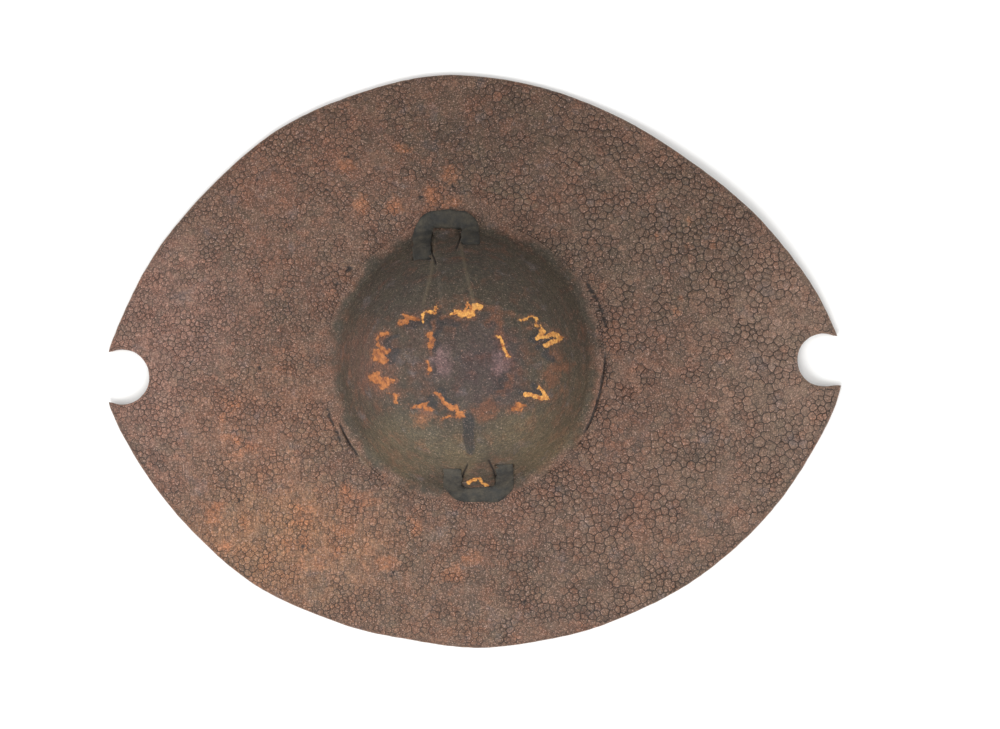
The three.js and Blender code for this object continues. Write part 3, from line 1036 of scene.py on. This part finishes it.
    extra_xy = [np.stack([bx, by], 1)]
    for number, (first, size) in enumerate(loops):
        full, corners = ring_of(number)
        loop = points[first:first + size]
        tangent = np.roll(loop, -1, 0) - np.roll(loop, 1, 0)
        tangent /= np.maximum(np.linalg.norm(tangent, axis=1, keepdims=True), 1e-9)
        outward = np.stack([tangent[:, 1], -tangent[:, 0]], 1)
        top = place[first:first + size]
        base = back[first:first + size]
        if number == 0:
            out = np.where(kinds == 1, NOTCH_INSET, RIM_INSET)
            ragged = 0.25 * noise(loop[:, 0], loop[:, 1], 6, 63)
            levels = [(0.75, 0.82), (1.0, 0.5), (0.7, 0.1)]
        else:
            out, ragged = np.zeros(size), np.zeros(size)
            levels = [(0.0, 0.5)]
        ring_ids = []
        for outshare, up in levels:
            ring = mix(base, top, up)
            ring[:, :2] += outward * ((out + ragged) * outshare)[:, None]
            ring_ids.append(start + np.arange(size))
            rings_v.append(ring)
            extra_xy.append(loop)
            start += size
        ring_ids.append(back_start + first + np.arange(size))
        wall_begin = len(rings_f)
        # from the full front edge to the first ring
        tris_here = []
        lower = ring_ids[0]
        for k in range(size):
            begin = corners[k]
            end = corners[k + 1] if k + 1 < size else len(full)
            chain = full[begin:end] + [full[end % len(full)]]
            a, b = lower[k], lower[(k + 1) % size]
            half = len(chain) // 2
            for i in range(half):
                tris_here.append((chain[i], a, chain[i + 1]))
            tris_here.append((chain[half], a, b))
            for i in range(half, len(chain) - 1):
                tris_here.append((chain[i], b, chain[i + 1]))
        rings_f.append(np.array(tris_here))
        for upper, lower in zip(ring_ids[:-1], ring_ids[1:]):
            a, b = upper, np.roll(upper, -1)
            c, d = lower, np.roll(lower, -1)
            rings_f.append(np.vstack([np.stack([a, c, b], 1), np.stack([b, c, d], 1)]))
        # each wall is laid out flat: along its loop, and down from the front edge
        run, down = {}, {}
        for rank, ids in enumerate(ring_ids):
            for k, v in enumerate(ids):
                run[v], down[v] = k / size, (rank + 1) / len(ring_ids)
        for k in range(size):
            begin = corners[k]
            end = corners[k + 1] if k + 1 < size else len(full)
            for i in range(begin, end):
                run[full[i]], down[full[i]] = (k + (i - begin) / (end - begin)) / size, 0
        for tris_here in rings_f[wall_begin:]:
            u = np.array([[run[v] for v in tri] for tri in tris_here])
            u += (u.max(1, keepdims=True) - u > 0.5) & (u < 0.5)
            v = np.array([[down[v] for v in tri] for tri in tris_here])
            wall_uv.append(np.stack([WALL_MAP[0] + u * WALL_MAP[2],
                                     WALL_MAP[1] + (number + 0.9 * (1 - v)) * WALL_MAP[3]], -1))

    vertices = np.vstack(rings_v)
    all_faces = np.vstack(rings_f)
    rest = np.vstack(extra_xy)
    n_rest = len(rest)
    back_paint = np.broadcast_to(rgb(116, 92, 74), (n_rest, 3))
    paint = np.vstack([paint, back_paint])
    zeros = np.zeros(n_rest)
    attributes = {
        "paint": paint,
        "streak": np.vstack([streak, np.zeros((n_rest, 3))]),
        "back": np.concatenate([np.zeros(len(plan)), np.ones(n_rest)]),
    }
    for key, values in (("crack", crack), ("tint", tint), ("hue", hue), ("boss", 1 - off_boss),
                        ("raw", raw), ("dull", dull), ("rust", rust), ("black", black), ("pink", pink),
                        ("ridge", in_ridge), ("wear", wear), ("comb", comb), ("edge", share)):
        attributes[key] = np.concatenate([values, zeros])
    # the map: front above, back small at the lower left, walls in rows at the lower right
    plan_all = np.vstack([plan, rest])
    size = np.ptp(rim, axis=0).max() * 1.02
    middle = (rim.max(0) + rim.min(0)) / 2
    front_uv = (plan_all - middle) / size + (0.5, FRONT_MAP)
    back_uv = (plan_all - middle) / size * BACK_MAP_SCALE + BACK_MAP
    uv = [front_uv[faces], back_uv[rings_f[1]]] + wall_uv
    uv = np.vstack([part.reshape(-1, 2) for part in uv])
    vertices = (vertices + shift) / 1000
    hide = make_object("shield_hide_skin", vertices, all_faces, attributes, uv, material, True)
    return hide


# ---------------------------------------------------------------------------- the grip strap

def open_curve(points, t):
    """Centripetal Catmull-Rom curve through an open list of points, and its direction."""
    points = np.array(points, float)
    spans = len(points) - 1
    ends = np.vstack([2 * points[0] - points[1], points, 2 * points[-1] - points[-2]])
    at = np.clip(np.asarray(t, float), 0, 1) * spans
    k = np.minimum(at.astype(int), spans - 1)
    w = (at - k)[:, None]
    p0, p1, p2, p3 = (ends[k + i] for i in range(4))
    gap = lambda a, b: np.maximum(np.sqrt(np.linalg.norm(b - a, axis=1)), 1e-4)[:, None]
    d0, d1, d2 = gap(p0, p1), gap(p1, p2), gap(p2, p3)
    v1 = ((p1 - p0) / d0 - (p2 - p0) / (d0 + d1) + (p2 - p1) / d1) * d1
    v2 = ((p2 - p1) / d1 - (p3 - p1) / (d1 + d2) + (p3 - p2) / d2) * d1
    c2 = -3 * p1 + 3 * p2 - 2 * v1 - v2
    c3 = 2 * p1 - 2 * p2 + v1 + v2
    place = p1 + v1 * w + c2 * w ** 2 + c3 * w ** 3
    heading = v1 + 2 * c2 * w + 3 * c3 * w ** 2
    return place, heading / np.linalg.norm(heading, axis=1, keepdims=True)


def flat_of(v, normal):
    v = v - normal * (v * normal).sum(-1, keepdims=True)
    return v / np.linalg.norm(v, axis=-1, keepdims=True)


def lacing_middle(lacing):
    return (lacing["legs"][0][0] + lacing["legs"][1][0]) / 2


def strap_route():
    top, bottom = (lacing_middle(lacing) for lacing in LACINGS)
    slant = (top - bottom) / (LACINGS[0]["band"] + LACINGS[1]["band"])
    half = [0, STRAP_FLAT / 2, STRAP_FLAT, (STRAP_FLAT + STRAP_END) / 2, STRAP_END]
    points, sides = [], []
    for y in [-s for s in reversed(half[1:])] + half:
        rise = STRAP_END_RISE * float(smooth(abs(y), STRAP_FLAT, STRAP_END))
        points.append(((top + bottom) / 2 + slant * y, y, STRAP_LEVEL + rise))
        sides.append((1, -slant, 0))
    return points, sides


def half_lacing(lacing, leg):
    direction, band = lacing["dir"], lacing["band"]
    x, out = lacing["legs"][leg]
    middle = lacing_middle(lacing)
    inward = math.copysign(1, middle - x)
    lay = TAIL_THICK / 2 - TAIL_SEAT
    points = [(mix(middle, x, TAIL_SPREAD), direction * (STRAP_END - 8),
               STRAP_LEVEL + STRAP_END_RISE - 1)]
    sides = [(-direction, 0, 0)]

    def add(px, p_out, depth, side):
        py = direction * p_out
        points.append(tuple(off_front(px, py, depth)))
        sides.append(tuple(flat_of(np.array(side, float), front_normal(np.float64(px), np.float64(py)))))

    across = (-direction, 0, 0)
    for depth in (-2.2, -1, -0.5):
        add(x, out - 1, depth * BOSS_HIDE, across)
    add(x, out + 2, lay * 0.4, across)
    add(x, out + 6, lay, across)
    add(x, (out + 6 + band - LOOP_CORNER) / 2, lay, across)
    for k in range(5):
        turn = k * math.pi / 8
        add(x + inward * LOOP_CORNER * (1 - math.cos(turn)),
            band - LOOP_CORNER * (1 - math.sin(turn)), lay,
            (-direction * math.cos(turn), inward * math.sin(turn), 0))
    add(middle, band, lay, (0, inward, 0))
    return points, sides


def lacing_route(lacing):
    points, sides = half_lacing(lacing, 0)
    points2, sides2 = half_lacing(lacing, 1)
    points += list(reversed(points2))[1:]
    sides += [tuple(-np.array(s)) for s in list(reversed(sides2))[1:]]
    return points, sides


def strip(route, width, thick, steps, across, seed):
    """A flat strip of rawhide along a route, with ragged edges and a wavy face."""
    points, sides = route
    t = np.linspace(0, 1, steps + 1)
    place, heading = open_curve(points, t)
    side, _ = open_curve(sides, t)
    side = flat_of(side, heading)
    up = np.cross(heading, side)
    length = np.concatenate([[0], np.cumsum(np.linalg.norm(np.diff(place, axis=0), axis=1))])
    u = np.linspace(-1, 1, across + 1)
    edge = 1 - 0.42 * np.abs(u) ** 3
    rows = []
    for face in (1, -1):
        for k, s in enumerate(u if face > 0 else u[::-1]):
            side_of = math.copysign(1, s)
            rag = 1 + 0.26 * fbm(length, side_of * 40 + 0 * length, 9, seed, 3) * smooth(abs(s), 0.3, 1)
            wave = 0.6 * fbm(length, s * width / 2 + 0 * length, 6, seed + 1, 3)
            off = (face * thick / 2) * (edge[k]) + (wave if face > 0 else wave * 0.5)
            rows.append(place + side * (s * width / 2 * rag)[:, None] + up * off[:, None])
    ring = len(rows)
    vertices = np.stack(rows, 1).reshape(-1, 3)
    faces = []
    for i in range(steps):
        for k in range(ring):
            a, b = i * ring + k, i * ring + (k + 1) % ring
            c, d = a + ring, b + ring
            faces += [(a, c, b), (b, c, d)]
    for end, flip in ((0, 1), (steps, -1)):
        base = end * ring
        half = ring // 2
        for k in range(half - 1):
            a, b = base + k, base + k + 1
            c, d = base + ring - 1 - k, base + ring - 2 - k
            two = [(a, b, c), (b, d, c)]
            faces += [f[::flip] for f in two]
    across_strip = np.tile(np.concatenate([u, u[::-1]]), steps + 1)
    return vertices, np.array(faces), np.repeat(length, ring), across_strip


def build_strap(material, shift):
    parts = [strip(strap_route(), STRAP_WIDTH, STRAP_THICK, 70, 12, 71)]
    for k, lacing in enumerate(LACINGS):
        parts.append(strip(lacing_route(lacing), TAIL_WIDTH + 1.2, TAIL_THICK, 130, 8, 81 + 10 * k))
    vertices, faces, length, across, start = [], [], [], [], 0
    for v, f, l, a in parts:
        vertices.append(v)
        faces.append(f + start)
        length.append(l)
        across.append(a)
        start += len(v)
    vertices = (np.vstack(vertices) + shift) / 1000
    faces = np.vstack(faces)
    attributes = {"run": np.concatenate(length), "across": np.concatenate(across)}
    return make_object("grip_strap_skin", vertices, faces, attributes, None, material)


# ---------------------------------------------------------------------------- materials

class Nodes:
    """Short calls for building one material's nodes."""

    def __init__(self, name):
        self.material = bpy.data.materials.new(name)
        self.material.use_nodes = True
        self.tree = self.material.node_tree
        self.tree.nodes.clear()

    def add(self, kind, inputs=None, **settings):
        node = self.tree.nodes.new(kind)
        for key, value in settings.items():
            setattr(node, key, value)
        for key, value in (inputs or {}).items():
            socket = node.inputs[key]
            if hasattr(value, "is_output"):
                self.tree.links.new(value, socket)
            else:
                socket.default_value = value
        return node

    def attribute(self, name, output="Fac"):
        return self.add("ShaderNodeAttribute", attribute_name=name).outputs[output]

    def math(self, operation, a, b=0.0, clamp=False):
        return self.add("ShaderNodeMath", {0: a, 1: b}, operation=operation, use_clamp=clamp).outputs[0]

    def noise(self, where, scale, detail=3.0, rough=0.5):
        inputs = {"Vector": where, "Scale": scale, "Detail": detail, "Roughness": rough}
        return self.add("ShaderNodeTexNoise", inputs).outputs["Fac"]

    def span(self, value, low, high, to_low=0.0, to_high=1.0):
        inputs = {"Value": value, "From Min": low, "From Max": high, "To Min": to_low, "To Max": to_high}
        return self.add("ShaderNodeMapRange", inputs, clamp=True).outputs[0]

    def blend(self, a, b, share, mode="MIX"):
        node = self.add("ShaderNodeMix", data_type="RGBA", blend_type=mode)
        for socket, value in zip([s for s in node.inputs if s.enabled], (share, a, b)):
            if hasattr(value, "is_output"):
                self.tree.links.new(value, socket)
            else:
                socket.default_value = value
        return [s for s in node.outputs if s.enabled][0]


def linear(r, g, b):
    return tuple(rgb(r, g, b)) + (1,)


def hide_material():
    n = Nodes("old_hide")
    place = n.add("ShaderNodeTexCoord").outputs["Object"]
    paint = n.attribute("paint", "Color")
    crack, tint, hue = (n.attribute(name) for name in ("crack", "tint", "hue"))
    boss, wear = n.attribute("boss"), n.attribute("wear")
    grain = n.noise(place, 700, 4, 0.65)
    speck = n.noise(place, 1100, 2, 0.7)
    lump = n.noise(place, 260, 4, 0.6)
    mottle = n.noise(place, 85, 5, 0.62)
    broad = n.noise(place, 22, 4, 0.55)

    # the cells' own tints, and broader drifts towards red, olive and grey
    redder = n.blend(paint, linear(128, 72, 48), 0.24)
    olive = n.blend(paint, linear(76, 70, 52), 0.34)
    drift = n.math("ADD", n.math("MULTIPLY", hue, 0.16), n.span(mottle, 0.3, 0.7, -0.5, 0.5))
    drift = n.math("ADD", drift, n.span(broad, 0.3, 0.7, -0.35, 0.35))
    colour = n.blend(paint, redder, n.span(drift, 0.0, 0.7))
    colour = n.blend(colour, olive, n.span(drift, 0.0, -0.7))
    grey = n.span(n.noise(n.add("ShaderNodeVectorMath", {0: place, 1: (1.3, 2.1, 0)}, operation="ADD").outputs[0],
                          46, 5, 0.65), 0.58, 0.72)
    colour = n.blend(colour, linear(98, 91, 92), n.math("MULTIPLY", grey, 0.45))

    # bare orange wear
    worn = n.span(n.math("ADD", wear, n.span(lump, 0.3, 0.7, -0.4, 0.3)), 0.15, 1.1)
    colour = n.blend(colour, linear(158, 94, 54), n.math("MULTIPLY", worn, 0.42))

    # fine cracks within the cells
    warped = n.add("ShaderNodeVectorMath", {0: place, 1: n.add(
        "ShaderNodeVectorMath", {0: n.add("ShaderNodeTexNoise", {"Vector": place, "Scale": 300.0}).outputs["Color"],
                                 1: (0.0022, 0.0022, 0.0022)}, operation="MULTIPLY").outputs[0]},
                   operation="ADD").outputs[0]
    web = n.add("ShaderNodeTexVoronoi", {"Vector": warped, "Scale": 330.0}, feature="DISTANCE_TO_EDGE")
    fine = n.span(web.outputs["Distance"], 0.0, 0.13, 1.0, 0.0)
    fine = n.math("MULTIPLY", fine, n.span(mottle, 0.35, 0.6, 0.25, 1.0))
    fine = n.math("MULTIPLY", fine, n.span(boss, 0.0, 1.0, 1.0, 0.35))

    # fibres round the boss
    polar = n.attribute("streak", "Vector")
    combed = n.add("ShaderNodeVectorMath", {0: polar, 1: (14.0, 14.0, 110.0)},
                   operation="MULTIPLY").outputs[0]
    bend = n.add("ShaderNodeTexNoise", {"Vector": place, "Scale": 40.0}).outputs["Color"]
    combed = n.add("ShaderNodeVectorMath", {0: combed, 1: n.add(
        "ShaderNodeVectorMath", {0: bend, 1: (5.0, 5.0, 9.0)}, operation="MULTIPLY").outputs[0]},
                   operation="ADD").outputs[0]
    fibre = n.noise(combed, 1.0, 5, 0.65)
    upright = n.add("ShaderNodeVectorMath", {0: place, 1: (620.0, 90.0, 90.0)},
                    operation="MULTIPLY").outputs[0]
    hair = n.noise(upright, 1.0, 4, 0.6)

    # torn film on the boss, with ragged borders
    rag = n.math("MULTIPLY", n.math("SUBTRACT", lump, 0.5), 0.9)
    rag = n.math("ADD", rag, n.math("MULTIPLY", n.math("SUBTRACT", grain, 0.5), 0.7))

    def patch(colour, name, tone, share, low=0.44, high=0.56):
        edge = n.span(n.math("ADD", n.attribute(name), rag), low, high)
        return n.blend(colour, tone, n.math("MULTIPLY", edge, share))

    colour = patch(colour, "pink", linear(112, 86, 86), 0.55, 0.2, 0.9)
    colour = patch(colour, "rust", linear(104, 62, 38), 0.6, 0.2, 0.9)
    colour = patch(colour, "black", linear(34, 33, 34), 0.75, 0.35, 0.65)

    shade = n.math("MULTIPLY", n.span(grain, 0.3, 0.7, 0.5, 1.62), n.span(lump, 0.3, 0.7, 0.74, 1.26))
    shade = n.math("MULTIPLY", shade, n.span(tint, -2.2, 2.2, 0.76, 1.26))
    shade = n.math("MULTIPLY", shade, n.span(mottle, 0.3, 0.7, 0.88, 1.12))
    shade = n.math("MULTIPLY", shade, n.span(n.math("MULTIPLY", boss, n.math("SUBTRACT", fibre, 0.5)),
                                             -0.2, 0.2, 0.8, 1.22))
    # painted shade along the fine cracks
    shade = n.math("MULTIPLY", shade, n.span(fine, 0.0, 1.0, 1.0, 0.5))
    hairs = n.math("MULTIPLY", n.attribute("comb"), n.math("SUBTRACT", hair, 0.5))
    shade = n.math("MULTIPLY", shade, n.span(hairs, -0.15, 0.15, 0.72, 1.34))
    # painted shade along the rim, where the rounded edge falls away
    shade = n.math("MULTIPLY", shade, n.span(n.attribute("edge"), 0.965, 1.0, 1.0, 0.72))
    grey3 = n.add("ShaderNodeCombineColor", {0: shade, 1: shade, 2: shade}).outputs[0]
    colour = n.blend(colour, grey3, 1.0, "MULTIPLY")
    calmer = n.math("ADD", grain, n.math("MULTIPLY", boss, -0.06))
    glint = n.span(n.math("MULTIPLY", speck, calmer), 0.3, 0.38)
    colour = n.blend(colour, linear(190, 158, 144), n.math("MULTIPLY", glint, 0.62))

    duller = n.blend(linear(120, 66, 34), linear(188, 116, 56), n.span(lump, 0.36, 0.62))
    colour = patch(colour, "dull", duller, 0.85, 0.4, 0.62)
    bright = n.blend(linear(160, 90, 40), linear(228, 166, 84), n.span(lump, 0.36, 0.6))
    bright = n.blend(bright, linear(110, 60, 32), n.span(grain, 0.56, 0.7))
    colour = patch(colour, "raw", bright, 0.95)
    # painted highlight along the raised creases
    colour = n.blend(colour, linear(112, 98, 76), n.math("MULTIPLY", n.attribute("ridge"), 0.35))

    # painted shade in the cracks and grooves, deeper ones darker
    dark = n.span(crack, 0.08, 0.55)
    colour = n.blend(colour, linear(30, 22, 18), n.math("MULTIPLY", dark, 0.9))
    height = n.math("ADD", n.math("MULTIPLY", grain, 0.5), n.math("MULTIPLY", lump, 0.8))
    height = n.math("SUBTRACT", height, n.math("MULTIPLY", fine, 0.35))
    height = n.math("ADD", height, n.math("MULTIPLY", n.math("MULTIPLY", fibre, boss), 1.1))
    bump = n.add("ShaderNodeBump", {"Strength": 0.7, "Distance": 0.001, "Height": height}).outputs[0]
    rough = n.span(mottle, 0.3, 0.7, 0.46, 0.68)
    rough = n.math("ADD", rough, n.math("MULTIPLY", boss, 0.08))
    inputs = {"Base Color": colour, "Roughness": rough, "Normal": bump, "Specular IOR Level": 0.45}
    shader = n.add("ShaderNodeBsdfPrincipled", inputs)
    out = n.add("ShaderNodeOutputMaterial")
    n.tree.links.new(shader.outputs[0], out.inputs[0])
    return n.material


def strap_material():
    n = Nodes("rawhide")
    place = n.add("ShaderNodeTexCoord").outputs["Object"]
    grain = n.noise(place, 520, 4, 0.6)
    mottle = n.noise(place, 110, 4, 0.6)
    colour = n.blend(linear(38, 37, 33), linear(74, 68, 57), n.span(mottle, 0.4, 0.72))
    shade = n.span(grain, 0.3, 0.7, 0.7, 1.25)
    colour = n.blend(colour, n.add("ShaderNodeCombineColor", {0: shade, 1: shade, 2: shade}).outputs[0],
                     1.0, "MULTIPLY")
    bump = n.add("ShaderNodeBump", {"Strength": 0.6, "Distance": 0.001, "Height": grain}).outputs[0]
    inputs = {"Base Color": colour, "Roughness": n.span(mottle, 0.3, 0.7, 0.6, 0.85), "Normal": bump}
    shader = n.add("ShaderNodeBsdfPrincipled", inputs)
    out = n.add("ShaderNodeOutputMaterial")
    n.tree.links.new(shader.outputs[0], out.inputs[0])
    return n.material


def floor_material():
    n = Nodes("pale_floor")
    place = n.add("ShaderNodeTexCoord").outputs["Object"]
    speck = n.noise(place, 3, 3)
    colour = n.blend(linear(243, 243, 242), linear(247, 247, 246), speck)
    shader = n.add("ShaderNodeBsdfPrincipled", {"Base Color": colour, "Roughness": 0.9})
    out = n.add("ShaderNodeOutputMaterial")
    n.tree.links.new(shader.outputs[0], out.inputs[0])
    return n.material


# ---------------------------------------------------------------------------- the scene


hide = build_hide(hide_material(), shift)
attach(hide, "root")
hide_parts("shield_hide")

strap = build_strap(strap_material(), shift)
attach(strap, "root")
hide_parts("grip_strap")

bpy.ops.mesh.primitive_plane_add(size=8, location=(0, 0, 0))
floor = bpy.context.object
floor.name = "floor"
floor.data.materials.append(floor_material())

FRAME_WIDTH = 900

camera = bpy.data.objects.new("camera", bpy.data.cameras.new("camera"))
bpy.context.scene.collection.objects.link(camera)
camera.location = (CAMERA_X / 1000, CAMERA_Y / 1000, CAMERA_HEIGHT / 1000)
camera.data.sensor_width = 36
camera.data.lens = 36 * (CAMERA_HEIGHT - RIM_LEVEL) / FRAME_WIDTH
bpy.context.scene.camera = camera


def area_light(name, place, size, watts, colour=(1, 1, 1)):
    data = bpy.data.lights.new(name, "AREA")
    data.shape = "RECTANGLE"
    data.size, data.size_y = size
    data.energy = watts
    data.color = colour
    light = bpy.data.objects.new(name, data)
    light.location = place
    light.rotation_mode = "QUATERNION"
    light.rotation_quaternion = (-Vector(place)).to_track_quat("-Z", "Y")
    bpy.context.scene.collection.objects.link(light)


area_light("front_soft", (-0.4, -1.6, 1.9), (1.8, 1.2), 44)
area_light("left_soft", (-2.0, -0.1, 1.0), (1.2, 1.2), 22)
area_light("right_soft", (2.0, -0.3, 1.0), (1.2, 1.2), 16)
area_light("top_soft", (0.0, 0.6, 2.6), (2.0, 1.4), 16)

world = bpy.data.worlds.new("studio")
world.use_nodes = True
world.node_tree.nodes["Background"].inputs[0].default_value = (1, 1, 1, 1)
world.node_tree.nodes["Background"].inputs[1].default_value = 0.45
bpy.context.scene.world = world
bpy.context.scene.view_settings.view_transform = "Standard"
